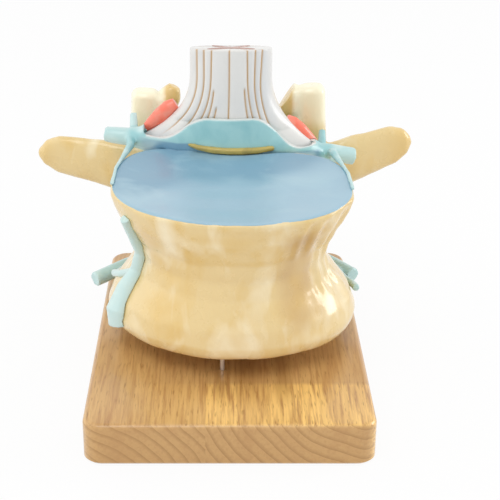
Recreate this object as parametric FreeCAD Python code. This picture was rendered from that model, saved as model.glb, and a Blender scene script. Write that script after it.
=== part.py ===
"""Enlarged lumbar vertebra with spinal cord, nerves and wooden base, in millimetres.

The origin is at the middle of the board's underside. X runs to the right as seen
from the front, Y to the back and Z up. Left and right are as seen from the front.
"""
import FreeCAD, Part
import os
from math import cos, sin, tan, radians, pi, copysign, exp

V = FreeCAD.Vector
UP = V(0, 0, 1)
BACK = V(0, 1, 0)
LEFT, RIGHT = -1, 1
SIDE_NAMES = {LEFT: "left", RIGHT: "right"}

# Wooden board
BOARD_WIDTH = 150.0
BOARD_DEPTH = 215.0
BOARD_THICKNESS = 23.0
BOARD_CORNER_RADIUS = 10.0
BOARD_TOP_ROUND = 3.0
BOARD_BOTTOM_CHAMFER = 1.2

# Rods that carry the vertebra, each with a nut and washer in a counterbore
ROD_DIAMETER = 2.5
ROD_HOLE_CLEARANCE = 0.2
ROD_SOCKET_DEPTH = 24.0
ROD_TAIL = 1.0
FRONT_ROD_X = -5.2
FRONT_ROD_SETBACK = 12.5
REAR_ROD_SPREAD = 38.0
REAR_ROD_SETBACK = 86.0
COUNTERBORE_DIAMETER = 9.0
COUNTERBORE_DEPTH = 6.0
WASHER_DIAMETER = 6.5
WASHER_THICKNESS = 0.6
NUT_WIDTH = 5.0
NUT_THICKNESS = 2.0

# Vertebral body
MODEL_X = 1.5
BODY_GAP = 12.0
BODY_FRONT_Y = -62.0
BODY_DEPTH = 112.0
BODY_HEIGHT = 77.0
BODY_TOP_RISE = 3.4
LOWER_HALF_WIDTH = 70.5
UPPER_HALF_WIDTH = 66.8
WAIST_HALF_WIDTH = 51.5
WAIST_HEIGHT = 41.0
UPPER_FLARE_POWER = 1.3
LOWER_RIM_HEIGHT = 7.0
UPPER_RIM_DROP = 3.0
LOWER_FRONT_STEP = 3.0
FRONT_WAIST_RECESS = 9.0
BACK_WAIST_RECESS = 5.0
LOWER_WIDEST_SETBACK = 62.0
UPPER_WIDEST_SETBACK = 52.0
LOWER_EDGE_INSET = 4.5
UPPER_EDGE_INSET = 1.0
BACK_DIP = 12.0
BACK_DIP_HALF_WIDTH = 27.0
UPPER_BACK_SQUARENESS = 3.4
LOWER_BACK_SQUARENESS = 2.3
FRONT_SKEW = 0.05
BACK_SKEW = 0.05
UNDERSIDE_DISH = 2.0
UNDERSIDE_RIM = 9.0

# Disc set into the top of the body
DISC_RIM_WALL = 1.1
DISC_THICKNESS = 6.5
DISC_DISH = 4.0
SEAT_CLEARANCE = 0.15

# Posterior parts of the vertebra
PEDICLE_SPREAD = 44.0
PEDICLE_HALF_WIDTH = 10.0
PEDICLE_HALF_HEIGHT = 18.0
PEDICLE_TOP_DROP = 11.0
ARCH_BEHIND_WALL = 54.0
TRANSVERSE_REACH = {LEFT: 119.5, RIGHT: 112.0}
TRANSVERSE_RISE = {LEFT: 9.0, RIGHT: 15.0}
TRANSVERSE_HALF_THICKNESS = 5.5
SUPERIOR_SPREAD = {LEFT: 51.5, RIGHT: 48.8}
LOBE_REACH = {LEFT: (3.0, 10.0, 15.0, 17.4), RIGHT: (3.0, 13.5, 14.0, 12.5)}
SUPERIOR_RISE = {LEFT: 22.5, RIGHT: 25.5}
INFERIOR_TIP_HEIGHT = 33.0
LAMINA_HALF_THICKNESS = 7.0
CANAL_DEPTH = 60.0
SPINE_LENGTH = 72.0
SPINE_HALF_THICKNESS = 5.5

# Spinal cord and its roots
CORD_HALF_WIDTH = 24.2
CORD_HALF_DEPTH = 16.5
CORD_TOP_RISE = 56.5
CORD_LEAN = 9.2
ROOT_START_RISE = 37.0
ROOT_REACH = 53.0
ROOT_END_RISE = {LEFT: 2.0, RIGHT: -7.0}
POSTERIOR_ROOT_OFFSET = 9.0
GREY_THICKNESS = 1.6
GREY_PROUD = 0.4

# Dural sac and the sleeves round the roots
SAC_WALL = 3.2
SAC_SIDE_EXTRA = 3.0
SAC_FRONT_GAP = 0.3
SAC_EDGE_RISE = 20.0
SAC_SHOULDER_IN = 12.0
SAC_SHOULDER_OUT = 42.0
SLEEVE_EDGE_RISE = {LEFT: 6.5, RIGHT: 0.5}
SLEEVE_CUT_REACH = 51.0
FIT_GAP = 0.25

# Spinal nerves
NERVE_Y_OFFSET = 8.0
NERVE_START_X = 57.5
NERVE_END_X = {LEFT: 74.9, RIGHT: 74.1}
NERVE_START_RISE = {LEFT: 1.6, RIGHT: -9.0}
NERVE_END_RISE = {LEFT: 2.6, RIGHT: -11.6}
NERVE_END_RADIUS = {LEFT: 4.5, RIGHT: 5.2}
NERVE_START_RADIUS = {LEFT: 5.4, RIGHT: 5.6}
RAMUS_RADIUS = 1.1
DORSAL_RAMUS_RADIUS = 2.5
DORSAL_RAMUS_SPREAD = {LEFT: 57.5, RIGHT: 54.5}
LOWER_NERVE_RADIUS = 4.5
LOWER_NERVE_END_X = {LEFT: 82.3, RIGHT: 74.2}
LOWER_NERVE_END_RISE = {LEFT: -2.2, RIGHT: 0.6}
LOWER_NERVE_FALL = {LEFT: 3.0, RIGHT: 0.5}
LOWER_NERVE_FORWARD = 14.0
LOWER_BRANCH_RADIUS = 2.1
LOWER_BRANCH_PROUD = 2.6

# Ganglia on the posterior roots
GANGLION_HALF_HEIGHT = 4.3
GANGLION_HALF_DEPTH = 3.6
GANGLION_DROP = {LEFT: 0.0, RIGHT: 1.0}

# Ligament strip across the back edge of the disc
STRIP_LEFT_REACH = -27.0
STRIP_RIGHT_REACH = 24.0
STRIP_HALF_HEIGHT = 1.9
STRIP_HALF_DEPTH = 2.4
STRIP_RISE = 2.1
STRIP_LEFT_LIFT = 2.6

# Sympathetic trunk on the left of the body
TRUNK_PROUD = 4.0
TRUNK_OUTSET = 1.0
BRANCH_RADIUS = 2.2


def smooth(u):
    """Half a cosine wave, from 0 at 0 to 1 at 1."""
    u = min(max(u, 0.0), 1.0)
    return 0.5 - 0.5 * cos(pi * u)


def ring(points):
    """A closed smooth curve with evenly spaced knots."""
    count = len(points)
    curve = Part.BSplineCurve()
    curve.interpolate(
        Points=points, PeriodicFlag=True, Parameters=[k / count for k in range(count + 1)])
    return Part.Wire([curve.toShape()])


def loft(sections, straight=False):
    """A solid through closed curves, smooth or with straight lines between them."""
    return Part.makeLoft([ring(points) for points in sections], True, straight)


def oval(centre, side, up, half_side, half_up, power=2.0, count=8):
    """A superellipse in the plane of side and up."""
    points = []
    for k in range(count):
        t = 2 * pi * k / count
        c, s = cos(t), sin(t)
        u = half_side * copysign(abs(c) ** (2 / power), c)
        v = half_up * copysign(abs(s) ** (2 / power), s)
        points.append(centre + side * u + up * v)
    return points


def limb(stations, reference=UP, power=2.0, grow=0.0, count=8):
    """A loft of ovals square to the path; each station is centre, half side, half height."""
    path = [V(*station[0]) for station in stations]
    sections = []
    for k, station in enumerate(stations):
        along = (path[min(k + 1, len(path) - 1)] - path[max(k - 1, 0)]).normalize()
        up = (reference - along * reference.dot(along)).normalize()
        side = along.cross(up)
        sections.append(oval(path[k], side, up, station[1] + grow, station[2] + grow, power, count))
    return loft(sections, True)


def fused(shapes):
    whole = shapes[0]
    for shape in shapes[1:]:
        whole = whole.fuse(shape)
    return whole


def rod_cylinder(x, y, low, high, diameter):
    return Part.makeCylinder(diameter / 2, high - low, V(x, y, low))


# Vertebral body

def floor_of_body():
    return BOARD_THICKNESS + BODY_GAP


def waist_share(height):
    """1 at the waist and 0 at the two rims."""
    if height < WAIST_HEIGHT:
        span = WAIST_HEIGHT - LOWER_RIM_HEIGHT
        return 1 - smooth((WAIST_HEIGHT - height) / span)
    span = BODY_HEIGHT - UPPER_RIM_DROP - WAIST_HEIGHT
    return 1 - smooth((height - WAIST_HEIGHT) / span) ** UPPER_FLARE_POWER


def edge_inset(height):
    """How far the rounded edges at the bottom and the top draw in."""
    low = max(1 - height / LOWER_RIM_HEIGHT, 0.0)
    high = max(1 - (BODY_HEIGHT - height) / UPPER_RIM_DROP, 0.0)
    return LOWER_EDGE_INSET * (1 - (1 - low ** 2) ** 0.5) + UPPER_EDGE_INSET * high ** 2


def body_point(angle, height, inset=0.0, lift=0.0):
    """A point of the kidney outline at an angle in radians and a height above the underside.

    The front half is half an ellipse. The back half is half a superellipse with a
    dip in the middle. The outline leans back towards the left. Inset draws the
    outline in and lift raises the point.
    """
    share = height / BODY_HEIGHT
    waist = waist_share(height)
    draw = edge_inset(height) + inset
    rim = LOWER_HALF_WIDTH + (UPPER_HALF_WIDTH - LOWER_HALF_WIDTH) * smooth(share)
    half = rim + (WAIST_HALF_WIDTH - rim) * waist - draw
    setback = LOWER_WIDEST_SETBACK + (UPPER_WIDEST_SETBACK - LOWER_WIDEST_SETBACK) * share
    front = setback - FRONT_WAIST_RECESS * waist + LOWER_FRONT_STEP * (1 - share) - draw
    back = BODY_DEPTH - setback - BACK_WAIST_RECESS * waist - draw
    c, s = cos(angle), sin(angle)
    if s < 0:
        x, y = half * c, front * s
    else:
        power = 2 / (LOWER_BACK_SQUARENESS + (UPPER_BACK_SQUARENESS - LOWER_BACK_SQUARENESS) * share)
        x = half * copysign(abs(c) ** power, c)
        y = back * s ** power
        y -= BACK_DIP * exp(-(x / BACK_DIP_HALF_WIDTH) ** 2)
    y += BODY_FRONT_Y + setback - (FRONT_SKEW + BACK_SKEW * max(s, 0.0)) * x
    z = floor_of_body() + height + share * BODY_TOP_RISE * (y - BODY_FRONT_Y) / BODY_DEPTH
    return V(MODEL_X + x, y, z + lift)


def body_outline(height, inset=0.0, lift=0.0, count=20):
    return [body_point(2 * pi * k / count, height, inset, lift) for k in range(count)]


def body_heights():
    low = [LOWER_RIM_HEIGHT * share for share in (0, 0.12, 0.45, 1)]
    rim = BODY_HEIGHT - UPPER_RIM_DROP
    middle = [LOWER_RIM_HEIGHT + (WAIST_HEIGHT - LOWER_RIM_HEIGHT) * share for share in (0.28, 0.5, 0.72)]
    upper = [WAIST_HEIGHT + (rim - WAIST_HEIGHT) * share for share in (0, 0.3, 0.5, 0.7, 0.86, 1)]
    return low + middle + upper + [BODY_HEIGHT]


def back_wall_y():
    """Where the back of the body's top edge dips furthest forward."""
    return BODY_FRONT_Y + BODY_DEPTH - BACK_DIP


def top_of_body(y):
    rise = BODY_TOP_RISE * (y - BODY_FRONT_Y) / BODY_DEPTH
    return floor_of_body() + BODY_HEIGHT + rise


def top_edge_z():
    """Height of the body's top edge in front of the dural sac."""
    return top_of_body(back_wall_y())


def make_disc_seat():
    """The recess in the body's top that the disc sits in."""
    low = body_outline(BODY_HEIGHT, DISC_RIM_WALL, -DISC_THICKNESS)
    high = body_outline(BODY_HEIGHT, DISC_RIM_WALL, DISC_THICKNESS)
    return loft([low, high])


def dish(height, inset, depth, direction):
    """The space of a shallow bowl; direction is 1 for a bowl that opens upwards."""
    edge = body_outline(height, inset)
    middle = sum(edge, V()) * (1 / len(edge))
    sections = []
    for scale in (1.06, 0.8, 0.5, 0.12):
        drop = V(0, 0, -direction * depth * (1 - scale ** 2))
        sections.append([middle + (p - middle) * scale + drop for p in edge])
    return loft(sections)


def make_disc():
    inset = DISC_RIM_WALL + SEAT_CLEARANCE
    low = body_outline(BODY_HEIGHT, inset, -DISC_THICKNESS)
    high = body_outline(BODY_HEIGHT, inset)
    return loft([low, high]).cut(dish(BODY_HEIGHT, inset + 1.5, DISC_DISH, 1))


# Rods

def rod_places():
    """Name, X and Y of each rod."""
    rear_y = BODY_FRONT_Y + REAR_ROD_SETBACK
    return (
        ("front", MODEL_X + FRONT_ROD_X, BODY_FRONT_Y + FRONT_ROD_SETBACK),
        ("rear_left", MODEL_X - REAR_ROD_SPREAD, rear_y),
        ("rear_right", MODEL_X + REAR_ROD_SPREAD, rear_y),
    )


def rod_socket(x, y):
    top = floor_of_body() + ROD_SOCKET_DEPTH
    return rod_cylinder(x, y, BOARD_THICKNESS, top, ROD_DIAMETER + ROD_HOLE_CLEARANCE)


def make_rod(x, y):
    low = COUNTERBORE_DEPTH - WASHER_THICKNESS - NUT_THICKNESS - ROD_TAIL
    return rod_cylinder(x, y, low, floor_of_body() + ROD_SOCKET_DEPTH, ROD_DIAMETER)


def make_washer(x, y):
    low = COUNTERBORE_DEPTH - WASHER_THICKNESS
    hole = rod_cylinder(x, y, 0, COUNTERBORE_DEPTH, ROD_DIAMETER + ROD_HOLE_CLEARANCE)
    return rod_cylinder(x, y, low, COUNTERBORE_DEPTH, WASHER_DIAMETER).cut(hole)


def make_nut(x, y):
    low = COUNTERBORE_DEPTH - WASHER_THICKNESS - NUT_THICKNESS
    reach = NUT_WIDTH / 2 / cos(pi / 6)
    corners = [V(x + reach * cos(k * pi / 3), y + reach * sin(k * pi / 3), low) for k in range(7)]
    nut = Part.Face(Part.makePolygon(corners)).extrude(V(0, 0, NUT_THICKNESS))
    return nut.cut(rod_cylinder(x, y, 0, COUNTERBORE_DEPTH, ROD_DIAMETER))


def rim_edges(shape, level):
    """Edges that lie flat at a level."""
    return [e for e in shape.Edges if abs(e.BoundBox.ZMin - level) < 1e-3
            and abs(e.BoundBox.ZMax - level) < 1e-3]


def make_board():
    corner = V(-BOARD_WIDTH / 2, -BOARD_DEPTH / 2, 0)
    board = Part.makeBox(BOARD_WIDTH, BOARD_DEPTH, BOARD_THICKNESS, corner)
    upright = [e for e in board.Edges if abs(e.tangentAt(e.FirstParameter).z) > 0.5]
    board = board.makeFillet(BOARD_CORNER_RADIUS, upright)
    board = board.makeFillet(BOARD_TOP_ROUND, rim_edges(board, BOARD_THICKNESS))
    board = board.makeChamfer(BOARD_BOTTOM_CHAMFER, rim_edges(board, 0))
    for _, x, y in rod_places():
        hole = rod_cylinder(x, y, 0, BOARD_THICKNESS, ROD_DIAMETER + ROD_HOLE_CLEARANCE)
        board = board.cut(hole).cut(rod_cylinder(x, y, 0, COUNTERBORE_DEPTH, COUNTERBORE_DIAMETER))
    return board


# Posterior parts of the vertebra

def arch_y():
    """Middle of the articular pillars, from the body's back wall backwards."""
    return back_wall_y() + ARCH_BEHIND_WALL


def pedicle_z():
    return top_edge_z() - PEDICLE_TOP_DROP - PEDICLE_HALF_HEIGHT


def make_pedicle(side):
    x, z = MODEL_X + side * PEDICLE_SPREAD, pedicle_z()
    back = arch_y()
    wall = back_wall_y()
    return limb([
        ((x - side * 2, wall - 20, z), PEDICLE_HALF_WIDTH, PEDICLE_HALF_HEIGHT - 1),
        ((x - side, wall + 8, z), PEDICLE_HALF_WIDTH, PEDICLE_HALF_HEIGHT - 1),
        ((x + side, (wall + back) / 2, z), PEDICLE_HALF_WIDTH - 1.5, PEDICLE_HALF_HEIGHT - 3),
        ((x + side * 3, back - 6, z), PEDICLE_HALF_WIDTH + 1, PEDICLE_HALF_HEIGHT),
        ((x + side * 2, back + 6, z), PEDICLE_HALF_WIDTH, PEDICLE_HALF_HEIGHT - 3),
    ], power=2.4)


def make_transverse_process(side):
    """A flat blade that narrows beyond its root and ends in a round paddle."""
    shares = (0, 0.2, 0.42, 0.57, 0.7, 0.83, 0.94, 1)
    heights = (17, 16, 14, 12.4, 11.8, 10.8, 7.0, 2.0)
    start = PEDICLE_SPREAD + 2
    stations = []
    for share, half in zip(shares, heights):
        x = MODEL_X + side * (start + (TRANSVERSE_REACH[side] - start) * share)
        y = arch_y() - 10 + 14 * share
        z = pedicle_z() + 1 + TRANSVERSE_RISE[side] * share
        thick = TRANSVERSE_HALF_THICKNESS * (1.25 - 0.45 * share)
        stations.append(((x, y, z), min(thick, half), half))
    return limb(stations, power=2.3)


def make_superior_process(side):
    """The upright facet block and the lobe on its inner side."""
    x, y, low = MODEL_X + side * SUPERIOR_SPREAD[side], arch_y(), pedicle_z() + 4
    top = top_edge_z() + SUPERIOR_RISE[side]
    block = limb([
        ((x - side * 2, y, low), 12.5, 10.5),
        ((x, y, low + 16), 10.5, 9.5),
        ((x + side * 0.5, y + 1, (low + top) / 2 + 8), 9, 9),
        ((x + side * 0.5, y + 1, top - 3), 8.4, 8),
        ((x + side * 0.3, y + 1, top), 6.4, 5.6),
    ], reference=BACK, power=2.8)
    rows = ((-24, 8, 5), (-13, 8, 6), (-3.5, 6.8, 6), (1.5, 3.8, 4))
    lobe = limb([((x - side * reach, y + 3, top + drop), wide, deep)
                 for reach, (drop, wide, deep) in zip(LOBE_REACH[side], rows)], reference=BACK, power=2.2)
    return [block, lobe]


def make_lamina(side):
    back = back_wall_y() + CANAL_DEPTH
    z = pedicle_z() - 3
    return limb([
        ((MODEL_X + side * 46, arch_y() - 2, z + 2), LAMINA_HALF_THICKNESS, 19),
        ((MODEL_X + side * 34, arch_y() + 5, z + 1), LAMINA_HALF_THICKNESS, 18),
        ((MODEL_X + side * 18, back + 4, z), LAMINA_HALF_THICKNESS, 19),
        ((MODEL_X + side * 4, back + LAMINA_HALF_THICKNESS + 3, z - 3), LAMINA_HALF_THICKNESS, 20),
        ((MODEL_X - side * 3, back + LAMINA_HALF_THICKNESS + 4, z - 3), LAMINA_HALF_THICKNESS, 19),
    ], power=2.3)


def make_inferior_process(side):
    y = back_wall_y() + CANAL_DEPTH
    z = pedicle_z()
    tip = INFERIOR_TIP_HEIGHT
    return limb([
        ((MODEL_X + side * 30, y + 3, z - 4), 10, 7),
        ((MODEL_X + side * 29, y + 7, z - 20), 9.5, 7),
        ((MODEL_X + side * 28, y + 9, (z + tip) / 2 - 6), 9.5, 7),
        ((MODEL_X + side * 27, y + 9, tip + 4), 8.5, 6.5),
        ((MODEL_X + side * 27, y + 9, tip), 5.5, 4),
    ], reference=BACK, power=2.4)


def make_spinous_process():
    """A hatchet-shaped plate with a thick rear edge."""
    y = back_wall_y() + CANAL_DEPTH + 4
    z = pedicle_z() - 5
    half = SPINE_HALF_THICKNESS
    rows = ((0, 0, 20, 1.3), (0.2, -3, 18.5, 0.85), (0.5, -8, 19, 0.75), (0.75, -11, 20.5, 0.9),
            (0.93, -12, 18.5, 1.05), (1, -12, 12, 0.6))
    stations = [((MODEL_X, y + SPINE_LENGTH * share, z + drop), half * thick, height)
                for share, drop, height, thick in rows]
    return limb(stations, power=2.6)


def make_body():
    """The vertebral body with its disc seat and hollow underside."""
    body = loft([body_outline(height) for height in body_heights()], True)
    body = body.cut(make_disc_seat())
    return body.cut(dish(0, LOWER_EDGE_INSET + UNDERSIDE_RIM, UNDERSIDE_DISH, -1))


def make_vertebra():
    shapes = [make_spinous_process()]
    for side in (LEFT, RIGHT):
        shapes += [make_lamina(side), make_inferior_process(side), make_pedicle(side)]
        shapes += [make_transverse_process(side)] + make_superior_process(side)
    vertebra = fused(shapes + [make_body()])
    for _, x, y in rod_places():
        vertebra = vertebra.cut(rod_socket(x, y))
    return vertebra


# Spinal cord

def cord_y(z):
    """Middle of the cord; above the body it leans back."""
    rest = back_wall_y() + SAC_FRONT_GAP + SAC_WALL + CORD_HALF_DEPTH
    return rest + max(z - top_edge_z(), 0.0) * tan(radians(CORD_LEAN))


def column(low, high, half_width, half_depth, power=2.2):
    """An upright oval column that leans back above the body's top edge."""
    top = top_edge_z()
    stations = [((MODEL_X, cord_y(z), z), half_width, half_depth) for z in (low, top, high)]
    return limb(stations, reference=BACK, power=power, count=12)


def root_path(side, spread, offset):
    """The root's curve from the side of the cord out into the sleeve."""
    start = top_edge_z() + ROOT_START_RISE
    end = top_edge_z() + ROOT_END_RISE[side]
    shares = ((0.23, 1), (0.335, 0.66), (0.485, 0.37), (0.69, 0.135), (1, 0))
    path = []
    for out, high in shares:
        z = end + (start - end) * high
        y = cord_y(z) + offset + (NERVE_Y_OFFSET - 3) * out ** 2
        path.append((MODEL_X + side * (ROOT_REACH * out + spread), y, z))
    return path


def make_anterior_root(side, grow=0.0):
    sizes = ((8.5, 10.5), (9, 10), (8.5, 9.5), (7, 7), (4.5, 3.6))
    path = root_path(side, 0, -2.5)
    stations = [(point, deep, wide) for point, (deep, wide) in zip(path, sizes)]
    return limb(stations, reference=V(side, 0, 0.2), power=2.2, grow=grow)


def make_posterior_root(side, grow=0.0):
    sizes = ((5, 10), (5, 9.5), (4.5, 8), (3.5, 4.5))
    path = root_path(side, 1.0, POSTERIOR_ROOT_OFFSET)[:4]
    stations = [(point, deep, wide) for point, (deep, wide) in zip(path, sizes)]
    return limb(stations, reference=V(side, 0, 0.2), grow=grow)


def cord_low():
    return floor_of_body() + 2.0


def make_cord(grow=0.0):
    top = top_edge_z() + CORD_TOP_RISE
    shapes = [column(cord_low(), top, CORD_HALF_WIDTH + grow, CORD_HALF_DEPTH + grow)]
    for side in (LEFT, RIGHT):
        shapes += [make_anterior_root(side, grow), make_posterior_root(side, grow)]
    return fused(shapes)


# Dural sac, nerves and rami

def nerve_y():
    return cord_y(top_edge_z()) + NERVE_Y_OFFSET


def make_sleeve(side):
    """The sleeve from the sac's side, narrowing to the spinal nerve's cut end."""
    top = top_edge_z()
    start = top + NERVE_START_RISE[side]
    end = top + NERVE_END_RISE[side]
    y = nerve_y()
    middle = cord_y(top)
    radius = NERVE_START_RADIUS[side]
    return limb([
        ((MODEL_X + side * 14, middle, top - 1), 15.5, 19),
        ((MODEL_X + side * 30, middle - 0.5, (top + start) / 2 + 1.5), 13.5, 17),
        ((MODEL_X + side * 43, (middle + y) / 2 - 1, start + 1.5), 11, 12.5),
        ((MODEL_X + side * (NERVE_START_X - 4), y - 2, start), radius + 2.5, radius + 1.5),
        ((MODEL_X + side * (NERVE_START_X + 4), y, start), radius, radius),
        ((MODEL_X + side * (NERVE_END_X[side] - 6), y + 1, (start + end) / 2), radius - 0.4, radius - 0.4),
        ((MODEL_X + side * NERVE_END_X[side], y + 2, end), NERVE_END_RADIUS[side], NERVE_END_RADIUS[side]),
    ])


def sac_column(grow=0.0):
    top = top_edge_z()
    half_width = CORD_HALF_WIDTH + SAC_WALL + SAC_SIDE_EXTRA
    half_depth = CORD_HALF_DEPTH + SAC_WALL
    return column(cord_low(), top + SAC_EDGE_RISE + 6, half_width + grow, half_depth + grow)


def edge_height(x):
    """Height of the sac's cut edge at a distance from the middle."""
    side = LEFT if x < 0 else RIGHT
    low = SLEEVE_EDGE_RISE[side]
    fall = smooth((abs(x) - SAC_SHOULDER_IN) / (SAC_SHOULDER_OUT - SAC_SHOULDER_IN))
    return top_edge_z() + SAC_EDGE_RISE + (low - SAC_EDGE_RISE) * fall


def make_edge_cutter():
    """Everything above the sac's curved cut edge."""
    steps = 18
    reach = SLEEVE_CUT_REACH
    line = [-reach + 2 * reach * k / steps for k in range(steps + 1)]
    points = [V(MODEL_X + x, 0, edge_height(x)) for x in line]
    curve = Part.BSplineCurve()
    curve.interpolate(Points=points)
    high = V(0, 0, 80)
    frame = Part.makePolygon([points[-1], points[-1] + high, points[0] + high, points[0]])
    face = Part.Face(Part.Wire([curve.toShape()] + frame.Edges))
    return face.extrude(V(0, 160, 0))


def rim_ramus(side):
    """The ramus that runs from the nerve round the disc's rim to a cut end."""
    insets = (-7, -2.0, 0.2, 0.5, 0.5)
    lift = RAMUS_RADIUS + SEAT_CLEARANCE
    path = []
    for k, inset in enumerate(insets):
        angle = radians(46 - 12 * k)
        path.append(body_point(angle if side == RIGHT else pi - angle, BODY_HEIGHT, inset, lift))
    rise = top_edge_z() + NERVE_START_RISE[side]
    start = V(MODEL_X + side * (NERVE_START_X + 2), nerve_y() - 1, rise)
    points = [start] + path
    radii = [3.0, 2.4, 1.8] + [RAMUS_RADIUS] * 3
    return limb([((p.x, p.y, p.z), r, r) for p, r in zip(points, radii)], count=6)


def dorsal_ramus(side):
    """The short branch from the nerve back past the facet block."""
    x = MODEL_X + side * DORSAL_RAMUS_SPREAD[side]
    z = top_edge_z() + NERVE_START_RISE[side]
    y = nerve_y()
    r = DORSAL_RAMUS_RADIUS
    return limb([
        ((x, y - 1, z), r, r),
        ((x + side * 0.6, y + 7, z + 5), r, r),
        ((x + side * 1.0, y + 13, z + 10), r - 0.4, r - 0.4),
    ], reference=V(1, 0, 0), count=6)


def lower_nerve(side):
    """The nerve that leaves the sac under the pedicle."""
    y = cord_y(0)
    z = floor_of_body()
    end = z + LOWER_NERVE_END_RISE[side]
    r = LOWER_NERVE_RADIUS
    return limb([
        ((MODEL_X + side * 12, y + 2, z + 24), r + 4, r + 4),
        ((MODEL_X + side * 32, y + 5, z + 15), r + 1.5, r + 1.5),
        ((MODEL_X + side * 50, y + 5, end + 6), r, r),
        ((MODEL_X + side * 64, y, end + LOWER_NERVE_FALL[side]), r, r),
        ((MODEL_X + side * LOWER_NERVE_END_X[side], y - LOWER_NERVE_FORWARD, end), r, r),
    ])


def lower_branch():
    """The branch on the right that ends cut off beside the lower rim."""
    x, y = MODEL_X + 64, cord_y(0)
    rim = [body_point(radians(a), h, -LOWER_BRANCH_PROUD) for a, h in ((26, 9), (14, 10), (6, 11.5))]
    points = [V(x, y - 1, floor_of_body() + LOWER_NERVE_END_RISE[RIGHT])] + rim
    r = LOWER_BRANCH_RADIUS
    return limb([((p.x, p.y, p.z), r, r) for p in points])


def make_sac(vertebra, disc):
    shapes = [sac_column(), make_sleeve(LEFT), make_sleeve(RIGHT)]
    sac = fused(shapes).cut(make_edge_cutter())
    branches = [f(side) for side in (LEFT, RIGHT) for f in (rim_ramus, dorsal_ramus, lower_nerve)]
    branches.append(lower_branch())
    sac = fused([sac] + branches)
    return sac.cut(make_cord(FIT_GAP)).cut(vertebra).cut(disc)


def make_ganglion(side, neighbours):
    """A leaf-shaped swelling, blunt at its inner end and pointed at its outer end."""
    start = top_edge_z() + ROOT_END_RISE[side] - GANGLION_DROP[side]
    h, d = GANGLION_HALF_HEIGHT, GANGLION_HALF_DEPTH
    rows = ((32.5, 20, 0.8), (36, 17.6, 1.1), (41, 12.6, 1.2), (47.5, 6.5, 0.95), (54.5, 1.5, 0.25))
    y = cord_y(top_edge_z()) + 9
    stations = [((MODEL_X + side * x, y, start + z), d * k, h * k) for x, z, k in rows]
    ganglion = limb(stations)
    for shape in neighbours:
        ganglion = ganglion.cut(shape)
    return ganglion


def make_strip(sac):
    """The ligament strip, bent round the front of the sac and thinner at its left end."""
    depth = CORD_HALF_DEPTH + SAC_WALL
    half_width = CORD_HALF_WIDTH + SAC_WALL + SAC_SIDE_EXTRA
    stations = []
    for k in range(7):
        share = k / 6
        x = STRIP_LEFT_REACH + (STRIP_RIGHT_REACH - STRIP_LEFT_REACH) * share
        y = cord_y(0) - depth * (1 - abs(x / half_width) ** 2.2) ** (1 / 2.2)
        half_height = STRIP_HALF_HEIGHT * (0.5 + 0.5 * smooth(3 * share)) * (1 - 0.2 * smooth(4 * share - 3))
        z = top_edge_z() + STRIP_RISE + STRIP_LEFT_LIFT * (1 - share) ** 4
        stations.append(((MODEL_X + x, y, z), STRIP_HALF_DEPTH, half_height))
    return limb(stations, power=3.0).cut(sac)


# Grey matter on the cord's cut end

def butterfly():
    """One half of the outline, from the front middle round to the back middle."""
    return [(0, -2.6), (5, -6.4), (11, -9.2), (15.5, -7.2), (16, -2.5), (12, 0.8), (10.5, 4.5),
            (12.8, 9.4), (11.6, 13.2), (8.6, 11.0), (6.0, 5.5), (3.2, 2.6), (0, 1.8)]


def make_grey(grow=0.0):
    half = butterfly()
    outline = half[:-1] + [(-x, y) for x, y in half[:0:-1]]
    points = [V(x, y, 0) for x, y in outline]
    plate = Part.Face(Part.makePolygon(points + points[:1])).extrude(V(0, 0, GREY_THICKNESS))
    top = top_edge_z() + CORD_TOP_RISE
    plate.rotate(V(0, 0, 0), V(1, 0, 0), -CORD_LEAN)
    lean = radians(CORD_LEAN)
    axis = V(0, sin(lean), cos(lean))
    plate.translate(V(MODEL_X, cord_y(top), top) - axis * (GREY_THICKNESS - GREY_PROUD))
    return plate


# Sympathetic trunk

def trunk_path():
    """Angle in degrees, share of the body's height and half width, as the trunk comes down."""
    return ((209, 0.89, 2.8), (204, 0.74, 3.3), (200, 0.58, 3.5), (199, 0.43, 4.2),
            (201.5, 0.29, 5.8), (205, 0.15, 7.0), (207, 0.04, 6.6))


def make_trunk(vertebra, sac):
    """The trunk down the body's left and its branch back to the lower nerve."""
    stations = []
    for angle, share, half in trunk_path():
        point = body_point(radians(angle), BODY_HEIGHT * share, -TRUNK_OUTSET)
        stations.append(((point.x, point.y, point.z), half, min(half, TRUNK_PROUD)))
    trunk = limb(stations, reference=V(-1, -1, 0))
    r = BRANCH_RADIUS
    points = [body_point(radians(angle), BODY_HEIGHT * share, -TRUNK_OUTSET)
              for angle, share in ((199.5, 0.42), (192, 0.37), (183, 0.30), (173, 0.22), (160, 0.13))]
    nerve_z = floor_of_body() + LOWER_NERVE_END_RISE[LEFT] + LOWER_NERVE_FALL[LEFT]
    points.append(V(MODEL_X - 64, cord_y(0) - 2, nerve_z))
    branch = limb([((p.x, p.y, p.z), r, r) for p in points])
    below = Part.makeBox(200, 200, BODY_GAP, V(-100, -100, BOARD_THICKNESS))
    return trunk.fuse(branch).cut(below).cut(vertebra).cut(sac)


def export(name, shape):
    shape.exportStep("parts/" + name + ".step")


def main():
    os.makedirs("parts", exist_ok=True)
    export("base_board", make_board())
    for name, x, y in rod_places():
        export(name + "_support_rod", make_rod(x, y))
        export(name + "_washer", make_washer(x, y))
        export(name + "_nut", make_nut(x, y))
    vertebra = make_vertebra()
    export("lumbar_vertebra", vertebra)
    disc = make_disc()
    export("intervertebral_disc", disc)
    cord = make_cord()
    grey = make_grey()
    cord = cord.cut(grey)
    export("spinal_cord", cord)
    export("grey_matter", grey)
    sac = make_sac(vertebra, disc)
    export("dural_sac", sac)
    for side in (LEFT, RIGHT):
        export(SIDE_NAMES[side] + "_ganglion", make_ganglion(side, [cord, sac, vertebra]))
    export("posterior_ligament", make_strip(sac))
    export("sympathetic_trunk", make_trunk(vertebra, sac))


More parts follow.
